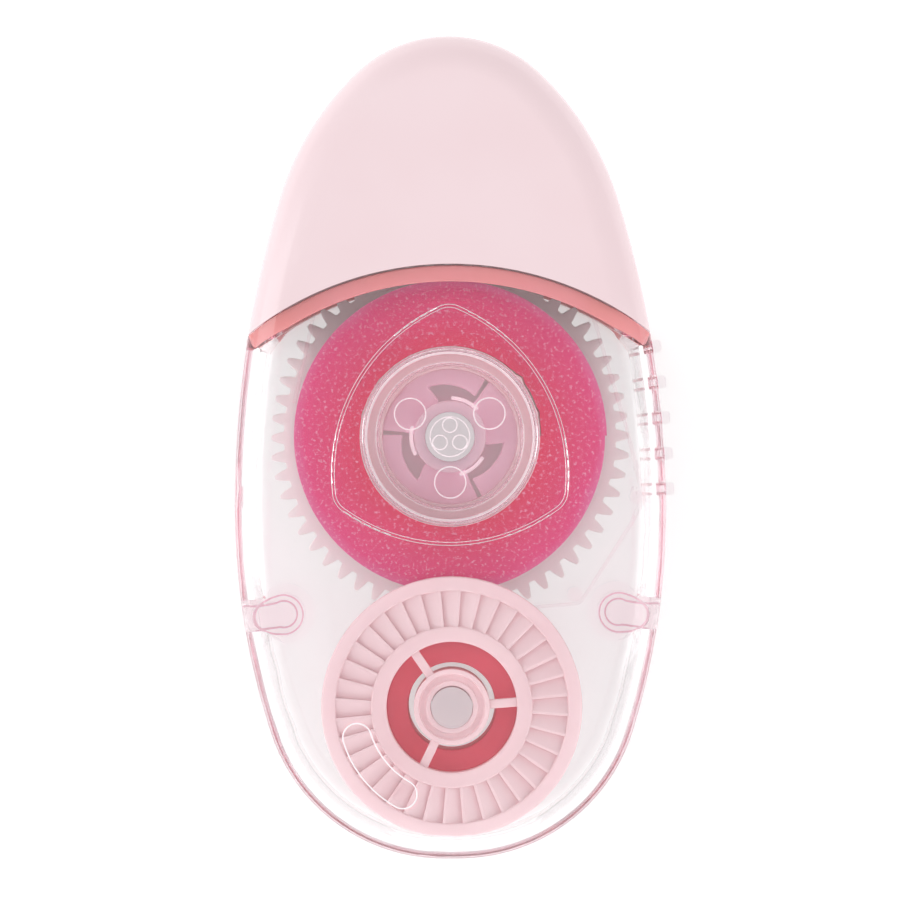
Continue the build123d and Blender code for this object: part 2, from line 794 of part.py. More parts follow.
with BuildPart() as roller_sleeve:
    add(pins([roller_place], roller_radius, roller_bottom, roller_top_level))
    add(pins([roller_place], core_outer, 0, overall_thickness), mode=Mode.SUBTRACT)
roller_sleeve.part.label = "roller_sleeve"

pieces = [
    rear_shell,
    front_shell,
    ratchet_pawl,
    cap,
    supply_gear,
    supply_core,
    tape_roll,
    take_up_reel,
    take_up_gear,
    leader_winding,
    feed_strand,
    return_strand,
    head_base,
    head_cover,
    roller_axle,
    roller_core,
    roller_sleeve,
]
for piece in pieces:
    export_step(piece.part, f"parts/{piece.part.label}.step")
print("supply axis y", round(supply_y, 4), "take-up axis y", round(take_up_y, 4))
print("roller axis y", round(roller_y, 4), "tape from", round(roll_bottom, 3), "to", round(roll_top, 3))
hinge_x, hinge_y = polar((slot_inner + slot_outer) / 2, pawl_hinge_angle)
print("pawl hinge", round(hinge_x, 4), round(take_up_y + hinge_y, 4), pawl_hinge_angle)
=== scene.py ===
# %% [markdown]
# # An egg-shaped tape roller in a clear case
# The real thing is a small glue-tape roller: a clear, faintly pink case with a magenta roll, two
# toothed wheels and a pink winding reel inside, and an opaque pink cap over the roller head.
# The engineering model is loaded as a fixed frame. Every visible piece below is built in that
# frame, in metres, and rides on one of its moving bodies.

# %% Load the frame
import json
import math

import bmesh
import bpy
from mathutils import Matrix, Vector

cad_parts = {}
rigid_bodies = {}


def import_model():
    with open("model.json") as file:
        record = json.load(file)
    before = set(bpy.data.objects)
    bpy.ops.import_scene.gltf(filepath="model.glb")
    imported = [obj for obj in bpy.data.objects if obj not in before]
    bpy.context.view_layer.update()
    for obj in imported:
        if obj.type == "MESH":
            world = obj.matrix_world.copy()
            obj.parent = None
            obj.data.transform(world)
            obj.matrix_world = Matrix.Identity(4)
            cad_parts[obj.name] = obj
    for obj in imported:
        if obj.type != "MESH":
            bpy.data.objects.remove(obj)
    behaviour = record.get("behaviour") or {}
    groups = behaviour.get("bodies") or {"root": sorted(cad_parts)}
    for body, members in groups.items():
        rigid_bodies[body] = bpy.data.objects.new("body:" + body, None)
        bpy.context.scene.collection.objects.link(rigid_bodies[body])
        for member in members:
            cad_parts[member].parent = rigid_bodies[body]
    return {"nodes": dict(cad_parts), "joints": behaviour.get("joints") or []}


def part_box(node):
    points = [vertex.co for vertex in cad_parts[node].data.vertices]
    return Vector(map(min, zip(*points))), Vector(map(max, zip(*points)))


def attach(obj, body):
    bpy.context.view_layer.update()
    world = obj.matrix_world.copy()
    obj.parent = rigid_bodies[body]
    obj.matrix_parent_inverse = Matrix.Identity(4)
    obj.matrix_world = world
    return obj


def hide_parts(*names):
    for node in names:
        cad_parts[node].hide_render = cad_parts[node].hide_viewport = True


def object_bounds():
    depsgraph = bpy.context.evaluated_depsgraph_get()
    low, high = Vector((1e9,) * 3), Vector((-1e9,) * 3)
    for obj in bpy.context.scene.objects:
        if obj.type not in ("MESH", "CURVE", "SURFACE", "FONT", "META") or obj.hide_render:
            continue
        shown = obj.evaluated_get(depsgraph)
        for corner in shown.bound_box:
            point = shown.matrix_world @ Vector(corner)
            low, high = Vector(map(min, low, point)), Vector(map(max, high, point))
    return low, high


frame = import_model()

cad_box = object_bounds()
MM = 0.001
print("CAD box in mm:", [[round(c / MM, 2) for c in corner] for corner in cad_box])

# %% [markdown]
# ## Places and sizes
# Each wheel turns about an upright axis. The joints give those axes, and each node's own box
# gives its radius and its levels, so that nothing here has to be measured twice.

# %% Axes, radii and levels
joint_at = {joint["name"]: joint.get("pos_m") for joint in frame["joints"]}
supply_axis = Vector((joint_at["supply_spin"][0], joint_at["supply_spin"][1], 0))
take_up_axis = Vector((joint_at["take_up_spin"][0], joint_at["take_up_spin"][1], 0))
roller_axis = Vector((joint_at["roller_spin"][0], joint_at["roller_spin"][1], 0))


def size_of(node):
    low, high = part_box(node)
    return (high[0] - low[0]) / 2, low[2], high[2]


roll_radius, roll_bottom, roll_top = size_of("tape_roll")
core_radius = size_of("supply_core")[0]
gear_bottom = size_of("supply_gear")[1]
reel_radius, _, reel_top = size_of("take_up_reel")
collar_top = size_of("take_up_gear")[2]
print("roll radius", round(roll_radius / MM, 2), "from", roll_bottom / MM, "to", roll_top / MM)

# %% [markdown]
# ## Colours and nodes
# Screen colours are written as the usual six-figure codes and turned to linear light by one
# function. A second small function adds any shader node with its settings and its links.


# %% Colour and node helpers
def srgb(code):
    values = [int(code[i : i + 2], 16) / 255 for i in (1, 3, 5)]
    linear = [v / 12.92 if v <= 0.04045 else ((v + 0.055) / 1.055) ** 2.4 for v in values]
    return (*linear, 1.0)


def add_node(tree, kind, settings=None, inputs=None):
    node = tree.nodes.new(kind)
    for name, value in (settings or {}).items():
        setattr(node, name, value)
    for key, value in (inputs or {}).items():
        if isinstance(value, bpy.types.NodeSocket):
            tree.links.new(value, node.inputs[key])
        else:
            node.inputs[key].default_value = value
    return node


def new_material(name, shader_inputs):
    material = bpy.data.materials.new(name)
    material.use_nodes = True
    tree = material.node_tree
    tree.nodes.clear()
    shader = add_node(tree, "ShaderNodeBsdfPrincipled", None, shader_inputs)
    add_node(tree, "ShaderNodeOutputMaterial", None, {"Surface": shader.outputs[0]})
    return material, tree, shader


print("white in linear light:", srgb("#FFFFFF"), "mid grey:", [round(c, 3) for c in srgb("#808080")])

# %% [markdown]
# ## Patterns in a finish
# Moulded plastic is never quite one colour or one gloss. A cloud pattern of a known size in
# millimetres drives small changes of colour, of roughness and of height.


# %% Pattern helpers
def noise(tree, feature_mm, detail=3.0, roughness=0.5, stretch=(1, 1, 1), centre=(0, 0, 0)):
    """A cloud pattern in object space whose spots are about feature_mm across."""
    place = add_node(tree, "ShaderNodeTexCoord")
    centred = add_node(tree, "ShaderNodeMapping", {"vector_type": "TEXTURE"},
                       {"Vector": place.outputs["Object"], "Location": centre, "Scale": stretch})
    return add_node(tree, "ShaderNodeTexNoise", None,
                    {"Vector": centred.outputs[0], "Scale": 1 / (feature_mm * MM),
                     "Detail": detail, "Roughness": roughness})


def blend_colours(tree, factor, first, second, low=0.35, high=0.65):
    ramp = add_node(tree, "ShaderNodeValToRGB", None, {"Fac": factor})
    ramp.color_ramp.elements[0].position = low
    ramp.color_ramp.elements[0].color = srgb(first)
    ramp.color_ramp.elements[1].position = high
    ramp.color_ramp.elements[1].color = srgb(second)
    return ramp.outputs["Color"]


def scaled(tree, value, low, high):
    """A number between low and high that follows a pattern from 0 to 1."""
    return add_node(tree, "ShaderNodeMapRange", None,
                    {"Value": value, "To Min": low, "To Max": high}).outputs["Result"]


def bumped(tree, shader, height, depth_mm, strength=0.5):
    bump = add_node(tree, "ShaderNodeBump", None,
                    {"Height": height, "Distance": depth_mm * MM, "Strength": strength})
    tree.links.new(bump.outputs[0], shader.inputs["Normal"])


print("a 2 mm pattern has a scale of", 1 / (2 * MM), "per metre")

# %% [markdown]
# ## Clear pink polystyrene
# The case is injection moulded in clear polystyrene with a trace of pink dye. Glass-like
# transmission gives the bright lines at every edge; the index is set a little under
# polystyrene's 1.59, which softens them. The dye is a volume absorption, because dye colours
# light by the length it travels: a 1 mm wall stays neutral while the 14 mm deep side walls and
# bosses turn pink. Rays that only ask whether a lamp is in the way pass straight through, so that
# the wheels inside stay lit.


# %% Case material
def clear_polystyrene():
    material, tree, shader = new_material("clear_pink_polystyrene_polished", {
        "Base Color": srgb("#FDFEFE"), "IOR": 1.56, "Transmission Weight": 1.0})
    haze = noise(tree, 4.0, 2.0)
    tree.links.new(scaled(tree, haze.outputs[0], 0.01, 0.04), shader.inputs["Roughness"])
    bumped(tree, shader, haze.outputs[0], 0.02, 0.1)
    rays = add_node(tree, "ShaderNodeLightPath")
    open_way = add_node(tree, "ShaderNodeBsdfTransparent", None, {"Color": srgb("#FAF3F4")})
    mix = add_node(tree, "ShaderNodeMixShader", None,
                   {0: rays.outputs["Is Shadow Ray"], 1: shader.outputs[0], 2: open_way.outputs[0]})
    dye = add_node(tree, "ShaderNodeVolumeAbsorption", None,
                   {"Color": srgb("#FCD2DF"), "Density": 22.0})
    out = tree.nodes["Material Output"]
    tree.links.new(mix.outputs[0], out.inputs["Surface"])
    tree.links.new(dye.outputs[0], out.inputs["Volume"])
    return material


clear_case = clear_polystyrene()
print("made", clear_case.name)

# %% [markdown]
# ## Opaque plastics
# The cap is gloss ABS with a faint orange-peel from the mould. The wheels are softer plastics,
# acetal and polypropylene, which let a little light in below their skin: subsurface scattering
# a millimetre or two deep gives them their milky edges. Their satin skin is a fine bump. Most
# parts also get a painted glow: a weak constant emission in their own colour that brightens them
# beyond what the lamps give.


# %% Opaque plastics
def moulded_plastic(name, colour, tint, roughness, peel_mm, depth_mm, glow=0.0, painted_glow=0.0):
    # Emission Strength is a painted glow in the part's own colour.
    material, tree, shader = new_material(name, {
        "IOR": 1.5, "Subsurface Weight": glow, "Subsurface Scale": 3 * MM,
        "Subsurface Radius": (1.0, 0.85, 0.85),
        "Emission Color": srgb(colour), "Emission Strength": painted_glow})
    cloud = noise(tree, 9.0, 2.0)
    clouded = blend_colours(tree, cloud.outputs[0], colour, tint, 0.3, 0.7)
    tree.links.new(clouded, shader.inputs["Base Color"])
    peel = noise(tree, peel_mm, 2.0)
    satin = scaled(tree, peel.outputs[0], roughness * 0.85, roughness * 1.15)
    tree.links.new(satin, shader.inputs["Roughness"])
    bumped(tree, shader, peel.outputs[0], depth_mm, 0.3)
    return material


cap_pink = moulded_plastic(                       # gloss ABS: smooth, with a long soft highlight
    "pale_pink_abs_gloss_moulded", "#F2D9DD", "#F4DDE1", 0.16, 1.6, 0.004, 0.0, 0.06)
natural_white = moulded_plastic(                  # undyed acetal: ivory, milky at the teeth
    "natural_acetal_satin_moulded", "#F8F0ED", "#FAF4F0", 0.38, 0.25, 0.006, 1.0, 0.03)
reel_pink = moulded_plastic(                      # polypropylene: satin and a little waxy
    "pale_pink_polypropylene_satin", "#F9D5DA", "#FBDBDF", 0.36, 0.25, 0.006, 0.4, 0.05)
gear_rose = moulded_plastic(                      # the same plastic in a strong rose
    "rose_polypropylene_satin", "#F55A72", "#F8647C", 0.42, 0.25, 0.006, 0.4, 0.06)
# lilac acetal with a stronger painted glow, which brightens it in the shade of the well
clutch_lilac = moulded_plastic(                   # thin acetal over the roll's core: lilac and lit
    "milky_lilac_acetal_glow_painted", "#F9CFDF", "#FBD6E4", 0.3, 0.4, 0.006, 1.0, 0.12)
# painted reflection: an opaque salmon strip for the cap's colour caught in the clear rim, with a painted
# glow
painted_rim_salmon = moulded_plastic(                    # the case's rim where the cap's colour is caught
    "salmon_painted_rim_reflection", "#FA9C98", "#F8A2A8", 0.2, 0.6, 0.004, 0.3, 0.06)
# painted glint: a near-white, strongly glowing finish for thin rods and rings at the clear case's edges
painted_edge_glint = moulded_plastic(                     # a polished edge: a fine white glint
    "polystyrene_glint_painted_white", "#FDF1F6", "#FFFFFF", 0.2, 0.5, 0.002, 0.5, 0.35)
# painted pink outline for the bosses, standing in for their edges seen through the dyed case, with a
# painted glow
painted_boss_outline = moulded_plastic(                      # an edge seen through 10 mm of dyed plastic
    "boss_outline_painted_pink", "#EDBCCD", "#F0C6D4", 0.2, 0.5, 0.002, 0.5, 0.1)
roller_rubber = moulded_plastic(                  # silicone: matt and cloudy
    "milky_silicone_rubber_matt", "#E9E1DD", "#EEE7E3", 0.6, 0.15, 0.01, 0.4)
print("plastics:", [material.name for material in bpy.data.materials])


# %% [markdown]
# ## Tape, liner and steel
# The roll is wound glue tape: a magenta dotted adhesive on film. Its edge is matt and a little
# ragged, deeper red inside and pinker towards the rim, with light flecks where film shows between
# the dots. The pinker rim and its pale outer band are partly the ragged edge and partly a painted
# highlight. The flecks are finer in reality; at 0.3 mm they are coarse enough to see. The free
# strands stand on edge and are nearly clear. The axle is ground steel with fine lines round it.


# %% Tape, liner and steel
def wound_tape(name, deep, bright, fleck, axis):
    material, tree, shader = new_material(name, {
        "Roughness": 0.62, "IOR": 1.45, "Subsurface Weight": 0.15, "Subsurface Scale": 0.6 * MM,
        "Subsurface Radius": (1.0, 0.3, 0.5), "Sheen Weight": 0.25, "Sheen Roughness": 0.5,
        "Sheen Tint": srgb("#FF9CC4")})
    place = add_node(tree, "ShaderNodeTexCoord")
    flat = add_node(tree, "ShaderNodeVectorMath", {"operation": "MULTIPLY"},
                    {0: place.outputs["Object"], 1: (1, 1, 0)})
    reach = add_node(tree, "ShaderNodeVectorMath", {"operation": "DISTANCE"},
                     {0: flat.outputs[0], 1: axis})
    across = add_node(tree, "ShaderNodeMapRange", None,
                      {"Value": reach.outputs["Value"], "From Min": core_radius, "From Max": roll_radius})
    soft = noise(tree, 7.0, 2.0)
    uneven = add_node(tree, "ShaderNodeMath", {"operation": "MULTIPLY_ADD"},
                      {0: soft.outputs[0], 1: 0.3, 2: across.outputs["Result"]})
    # pinker towards the rim and a pale band at the rim: partly the tape's ragged edge, partly a painted
    # highlight
    turns = blend_colours(tree, uneven.outputs[0], deep, bright, 0.15, 1.0)
    edge = add_node(tree, "ShaderNodeMapRange", None,
                    {"Value": uneven.outputs[0], "From Min": 0.98, "From Max": 1.2})
    rim = add_node(tree, "ShaderNodeMix", {"data_type": "RGBA"},
                   {0: edge.outputs["Result"], 6: turns, 7: srgb("#F077AE")})
    grain = noise(tree, 0.3, 4.0, 0.7)
    spots = blend_colours(tree, grain.outputs[0], "#000000", "#E0E0E0", 0.55, 0.66)
    flecked = add_node(tree, "ShaderNodeMix", {"data_type": "RGBA"},
                       {0: spots, 6: rim.outputs[2], 7: srgb(fleck)})
    tree.links.new(flecked.outputs[2], shader.inputs["Base Color"])
    bumped(tree, shader, grain.outputs[0], 0.05, 0.5)
    return material


thin_film = new_material("glue_tape_film_edge", {
    "Base Color": srgb("#EFA3BC"), "Roughness": 0.3, "Alpha": 0.07})[0]
tape_magenta = wound_tape("magenta_glue_tape_slit_edge", "#EE2A5E", "#F53C84", "#FFB8D6", supply_axis)
liner_film = moulded_plastic("siliconised_liner_film", "#F3DCE1", "#F6E3E7", 0.25, 0.3, 0.004, 0.3)


def ground_steel():
    material, tree, shader = new_material("ground_steel_axle", {
        "Metallic": 1.0, "Base Color": srgb("#C9C9CC")})
    lines = noise(tree, 0.08, 2.0, stretch=(1, 1, 30))
    tree.links.new(scaled(tree, lines.outputs[0], 0.18, 0.34), shader.inputs["Roughness"])
    bumped(tree, shader, lines.outputs[0], 0.003, 0.3)
    return material


steel = ground_steel()
print("materials:", [material.name for material in bpy.data.materials if material.users])


# %% [markdown]
# ## Small workshop
# Most pieces are made in one of four ways: a copy of an exact engineering solid with its shading
# made smooth, a turned piece from a profile, a flat outline given a thickness, or one tooth
# repeated round an axis by Geometry Nodes. Whatever the way, the mesh is finished by the same few
# functions: normals outwards, curves smooth, edges softened, then named and put on its body.


# %% Finishing a mesh
def shade_by_angle(work, degrees):
    for face in work.faces:
        face.smooth = True
    for edge in work.edges:
        sharp = not edge.is_manifold or edge.calc_face_angle() > math.radians(degrees)
        edge.smooth = not sharp


def as_piece(name, work, material, degrees=35):
    bmesh.ops.recalc_face_normals(work, faces=work.faces)
    shade_by_angle(work, degrees)
    mesh = bpy.data.meshes.new(name)
    work.to_mesh(mesh)
    work.free()
    mesh.materials.append(material)
    piece = bpy.data.objects.new(name, mesh)
    bpy.context.scene.collection.objects.link(piece)
    return piece


def soften(piece, width_mm, segments=2, degrees=40):
    bevel = piece.modifiers.new("soft edges", "BEVEL")
    bevel.width = width_mm * MM
    bevel.segments = segments
    bevel.limit_method = "ANGLE"
    bevel.angle_limit = math.radians(degrees)
    bevel.harden_normals = True
    return piece


print("edges are smooth below 35 degrees and softened above 40")

# %% [markdown]
# ## On its body
# Each finished piece rides on a moving body and, where it stands for exact solids, hides them.
# A copied solid needs its facets shaded as the curves they stand for, and its flats kept flat.


# %% Mounting and copying
def mount(piece, body, slot, *nodes):
    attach(piece, body)
    if nodes:
        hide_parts(*nodes)
    print(piece.name, len(piece.data.polygons), "faces")


def smooth_copy(node, material, degrees=30, lift_seam=0.0):
    """A copy of an exact solid whose facets are merged and shaded as curves."""
    work = bmesh.new()
    work.from_mesh(frame["nodes"][node].data)
    bmesh.ops.remove_doubles(work, verts=work.verts, dist=0.001 * MM)
    for vert in work.verts:
        if abs(vert.co.z - cad_box[1][2] / 2) < 0.001 * MM:
            vert.co.z += lift_seam
    piece = as_piece(node + "_form", work, material, degrees)
    weigh = piece.modifiers.new("flats stay flat", "WEIGHTED_NORMAL")
    weigh.mode = "FACE_AREA"
    weigh.weight = 100
    weigh.keep_sharp = True
    return piece


print("the seam between the shells lies at z =", round(cad_box[1][2] / 2 / MM, 2), "mm")

# %% [markdown]
# ## The case
# Two thin shells meet in a hair-wide seam. Their exact solids already carry the bosses, the
# bearing well, the three-sided rib and the grip, so a smoothly shaded copy is used. The front
# shell's edge is lifted by 0.03 mm: where two clear solids touch face to face, a ray can't tell
# which it is in, and the real joint has such a gap.

# %% Case shells and pawl
for node in ("rear_shell", "front_shell"):
    lift = 0.03 * MM if node == "front_shell" else 0
    mount(smooth_copy(node, clear_case, 30, lift), "case", "clear_case", node)
mount(smooth_copy("ratchet_pawl", clear_case), "pawl", "clear_case", "ratchet_pawl")

# %% [markdown]
# ## Painted glints on polished edges
# A clear piece on a pale one is only seen by its edges, which are rounded and throw a thin pale
# glint. The pawl's springy tongue gets that glint painted on, as a fine glowing rod swept along the
# sharp outline that its exact solid has at its top.


# %% Painted edge glints
def outline_loops(node, level):
    """The sharp outlines of a node at one height, as chains of points."""
    work = bmesh.new()
    work.from_mesh(frame["nodes"][node].data)
    bmesh.ops.remove_doubles(work, verts=work.verts, dist=0.001 * MM)
    beside = {}
    for edge in work.edges:
        flat = all(abs(vert.co.z - level) < 0.002 * MM for vert in edge.verts)
        if flat and edge.is_manifold and edge.calc_face_angle() > math.radians(50):
            for vert in edge.verts:
                beside.setdefault(vert.index, []).append(edge.other_vert(vert).index)
    places = {vert.index: vert.co.copy() for vert in work.verts}
    work.free()
    loops, seen = [], set()
    for start in beside:
        chain = []
        here = start
        while here is not None and here not in seen:
            seen.add(here)
            chain.append(places[here])
            here = next((other for other in beside[here] if other not in seen), None)
        if len(chain) > 3:
            loops.append(chain)
    return loops


pawl_top = size_of("ratchet_pawl")[2]
pawl_loops = outline_loops("ratchet_pawl", pawl_top)
print("pawl outlines at its top:", [len(loop) for loop in pawl_loops], "points")


# %% Sweeping the rod
def edge_glint_rod(name, loops, width_mm, body, material):
    """A fine rod along closed outlines, mounted on a body; in its glowing pale finish it is a painted
    glint.
    """
    curve = bpy.data.curves.new(name, "CURVE")
    curve.dimensions = "3D"
    curve.bevel_depth = width_mm / 2 * MM
    curve.bevel_resolution = 1
    for loop in loops:
        spline = curve.splines.new("POLY")
        spline.points.add(len(loop) - 1)
        spline.use_cyclic_u = True
        for point, place in zip(spline.points, loop):
            point.co = (*place, 1)
    rod = bpy.data.objects.new(name + "_path", curve)
    scene_objects = bpy.context.scene.collection.objects
    scene_objects.link(rod)
    mesh = bpy.data.meshes.new_from_object(rod.evaluated_get(bpy.context.evaluated_depsgraph_get()))
    bpy.data.objects.remove(rod)
    mesh.materials.clear()
    mesh.materials.append(material)
    piece = bpy.data.objects.new(name, mesh)
    scene_objects.link(piece)
    mount(piece, body, "clear_case")


edge_glint_rod("pawl_painted_glint", pawl_loops, 0.12, "pawl", painted_edge_glint)

# %% [markdown]
# ## The cap
# A gloss shell that continues the egg. Its exact solid has the long fillet that catches the
# light, so it is copied too.

# %% Cap
mount(smooth_copy("cap", cap_pink, 25), "cap", "cap_pink", "cap")


# %% [markdown]
# ## Turned pieces
# Cores, hubs and the roller are round. Each is a closed profile of radius and height, turned
# about its axis; the profile's corners are softened afterwards as a mould's polished edges are.


# %% Turning
def turned_form(profile_mm, axis, steps=96):
    work = bmesh.new()
    rings = []
    for step in range(steps):
        angle = 2 * math.pi * step / steps
        spot = [Vector((r * math.cos(angle), r * math.sin(angle), z)) * MM + axis for r, z in profile_mm]
        rings.append([work.verts.new(place) for place in spot])
    for ring, following in zip(rings, rings[1:] + rings[:1]):
        count = len(profile_mm)
        for i in range(count):
            work.faces.new((ring[i], ring[(i + 1) % count], following[(i + 1) % count], following[i]))
    return work


def turned(name, profile_mm, axis, material, steps=96):
    return as_piece(name, turned_form(profile_mm, axis, steps), material)


def tube(inner, outer, low, high):
    return [(inner, low), (outer, low), (outer, high), (inner, high)]


print("a tube's profile, radius and height in mm:", tube(2, 3, 0, 10))

# %% [markdown]
# ## Repeating round an axis
# Teeth, ratchet ramps, spokes and clutch fingers all repeat round a wheel. One Geometry Nodes
# tree does it: it places Count copies of the piece it is given, turns them, welds the seams
# between neighbours and moves the ring to its axis.


# %% Ring tree
def ring_tree():
    tree = bpy.data.node_groups.new("ring_of_copies", "GeometryNodeTree")
    sockets = (("Geometry", "Geometry"), ("Count", "Int"), ("Start Angle", "Float"),
               ("Weld", "Float"), ("Centre", "Vector"), ("Finish", "Material"))
    for name, kind in sockets:
        tree.interface.new_socket(name, in_out="INPUT", socket_type="NodeSocket" + kind)
    tree.interface.new_socket("Geometry", in_out="OUTPUT", socket_type="NodeSocketGeometry")
    given = add_node(tree, "NodeGroupInput").outputs
    spots = add_node(tree, "GeometryNodeMeshLine", None,
                     {"Count": given["Count"], "Offset": (0, 0, 0)})
    index = add_node(tree, "GeometryNodeInputIndex")
    pitch = add_node(tree, "ShaderNodeMath", {"operation": "DIVIDE"}, {0: 2 * math.pi, 1: given["Count"]})
    turn = add_node(tree, "ShaderNodeMath", {"operation": "MULTIPLY_ADD"},
                    {0: index.outputs[0], 1: pitch.outputs[0], 2: given["Start Angle"]})
    angles = add_node(tree, "ShaderNodeCombineXYZ", None, {"Z": turn.outputs[0]})
    copies = add_node(tree, "GeometryNodeInstanceOnPoints", None, {
        "Points": spots.outputs[0], "Instance": given["Geometry"], "Rotation": angles.outputs[0]})
    real = add_node(tree, "GeometryNodeRealizeInstances", None, {"Geometry": copies.outputs[0]})
    welded = add_node(tree, "GeometryNodeMergeByDistance", None,
                      {"Geometry": real.outputs[0], "Distance": given["Weld"]})
    placed = add_node(tree, "GeometryNodeTransform", None,
                      {"Geometry": welded.outputs[0], "Translation": given["Centre"]})
    finished = add_node(tree, "GeometryNodeSetMaterial", None,
                        {"Geometry": placed.outputs[0], "Material": given["Finish"]})
    add_node(tree, "NodeGroupOutput", None, {"Geometry": finished.outputs[0]})
    return tree


copies_in_ring = ring_tree()
print("ring tree:", len(copies_in_ring.nodes), "nodes")

# %% [markdown]
# ## From a tree to a mesh
# A tree's result is live geometry. It is evaluated once with the sizes it is given, kept as a
# plain mesh, and its normals and smooth edges are set again, since the tree doesn't keep them.


# %% Running a tree
def run_tree(piece, tree, values):
    """Give the piece a Geometry Nodes tree with these inputs and keep the result as plain mesh."""
    modifier = piece.modifiers.new(tree.name, "NODES")
    modifier.node_group = tree
    for socket in tree.interface.items_tree:
        if socket.in_out == "INPUT" and socket.name in values:
            modifier[socket.identifier] = values[socket.name]
    graph = bpy.context.evaluated_depsgraph_get()
    result = bpy.data.meshes.new_from_object(piece.evaluated_get(graph))
    piece.modifiers.remove(modifier)
    piece.data = result
    return piece


def reshade(piece, degrees, weld=0.0):
    """Weld a baked mesh where asked, then set its normals and its smooth edges again."""
    work = bmesh.new()
    work.from_mesh(piece.data)
    if weld:
        bmesh.ops.remove_doubles(work, verts=work.verts, dist=weld)
    bmesh.ops.recalc_face_normals(work, faces=work.faces)
    shade_by_angle(work, degrees)
    work.to_mesh(piece.data)
    work.free()


def ring(name, work, count, start_degrees, axis, material, degrees=35):
    piece = as_piece(name, work, material, degrees)
    run_tree(piece, copies_in_ring, {
        "Count": count, "Start Angle": math.radians(start_degrees), "Weld": 0.002 * MM,
        "Centre": axis, "Finish": material})
    reshade(piece, degrees)
    return piece


print("inputs of the ring tree:", [socket.name for socket in copies_in_ring.interface.items_tree])

# %% [markdown]
# ## Gear wheels
# A moulded gear this small has visibly rounded teeth: an involute flank with a rounded tip and a
# filleted root. One tooth with its slice of the disc is drawn, given its thickness, and repeated.


# %% Tooth slice
def polar(radius, angle):
    return Vector((radius * math.cos(angle), radius * math.sin(angle)))


def round_corner(before, corner, after, radius, steps=4):
    """Points on the arc that rounds one corner of an outline."""
    to_before, to_after = (before - corner).normalized(), (after - corner).normalized()
    half = to_before.angle(to_after) / 2
    reach = radius / math.tan(half)
    middle = corner + (to_before + to_after).normalized() * radius / math.sin(half)
    first, last = corner + to_before * reach, corner + to_after * reach
    points = []
    for step in range(steps + 1):
        way = first.lerp(last, step / steps) - middle
        points.append(middle + way.normalized() * radius)
    return points


def tooth_outline(module, teeth, tip_round, root_round):
    pitch_radius = module * teeth / 2
    base = pitch_radius * math.cos(math.radians(20))
    tip, root = pitch_radius + module, pitch_radius - 1.25 * module
    pitch_half = math.pi / teeth

    def half_angle(radius):
        pressure = math.acos(min(1, base / max(radius, base)))
        at_pitch = math.radians(20)
        spread = math.tan(at_pitch) - at_pitch - (math.tan(pressure) - pressure)
        return pitch_half / 2 - 0.03 / pitch_radius + spread

    flank = [root + (tip - root) * share for share in (0, 0.3, 0.55, 0.8, 1)]
    side = [polar(radius, -half_angle(radius)) for radius in flank]
    start = polar(root, -pitch_half)
    mirrored = [Vector((p.x, -p.y)) for p in reversed(side)]
    tip_corner = round_corner(side[-2], side[-1], mirrored[0], tip_round)
    root_corner = round_corner(start, side[0], side[1], root_round)
    lower = [start, *root_corner, *side[1:-1], *tip_corner]
    return lower + [Vector((p.x, -p.y)) for p in reversed(lower)]


tooth_module, supply_teeth, take_up_teeth = 0.52, 56, 30
print("points in one tooth:", len(tooth_outline(tooth_module, supply_teeth, 0.13, 0.15)))

# %% [markdown]
# ## Outlines with a thickness
# A slab is an outline at two levels. A prism adds all its walls; a tooth's slice leaves out the
# two walls it shares with its neighbours, so that the welded wheel is one closed skin.


# %% Slab, prism and gear
def slab(points, low, high):
    """The two faces of an outline in mm at two levels, without walls between them."""
    work = bmesh.new()
    levels = [[work.verts.new((x * MM, y * MM, z * MM)) for x, y in points] for z in (low, high)]
    work.faces.new(reversed(levels[0]))
    work.faces.new(levels[1])
    return work, levels


def prism(points, low, high):
    """A closed slab."""
    work, (lower, upper) = slab(points, low, high)
    for i in range(len(points)):
        j = (i + 1) % len(points)
        work.faces.new((lower[i], lower[j], upper[j], upper[i]))
    return work


def gear_wheel(name, module, teeth, bore, low, high, axis, material):
    outline = tooth_outline(module, teeth, 0.13, 0.15)
    half = math.pi / teeth
    inside = [polar(bore, half), polar(bore, 0), polar(bore, -half)]
    points = outline + inside
    work, (lower, upper) = slab(points, low, high)
    cuts = [len(outline) - 1, len(points) - 1]           # the walls shared with the neighbours
    for i in range(len(points)):
        if i not in cuts:
            j = (i + 1) % len(points)
            work.faces.new((lower[i], lower[j], upper[j], upper[i]))
    return ring(name, work, teeth, 0, axis, material)


print("pitch radii in mm:", tooth_module * supply_teeth / 2, tooth_module * take_up_teeth / 2)

# %% [markdown]
# ## Rim under the cap
# Where the cap ends, the thick front and rear rims of the case glow salmon: the cap's colour is
# caught in them. A slim opaque salmon arc inside each rim, just within the cap's edge, paints that
# band: a painted reflection with a painted glow.


# %% Salmon rims
rim_centre = Vector((0, -11.9))
rim_inner, rim_outer, rim_half_degrees = 25.6, 26.93, 38


def painted_rim_arc(name, low, high):
    turns = [math.radians(90 + rim_half_degrees * (step / 24 - 1)) for step in range(49)]
    points = [rim_centre + polar(rim_outer, turn) for turn in turns]
    points += [rim_centre + polar(rim_inner, turn) for turn in reversed(turns)]
    # the opaque salmon strip is a painted reflection
    glow = soften(as_piece(name, prism(points, low, high), painted_rim_salmon), 0.1)
    mount(glow, "case", "clear_case")


painted_rim_arc("front_rim_painted_reflection", 14.8, 15.5)
painted_rim_arc("rear_rim_painted_reflection", 1.4, 2.1)

# %% [markdown]
# ## The two gears
# The supply gear drives the take-up gear below it. Both are 1.2 mm thick and mesh on one level.

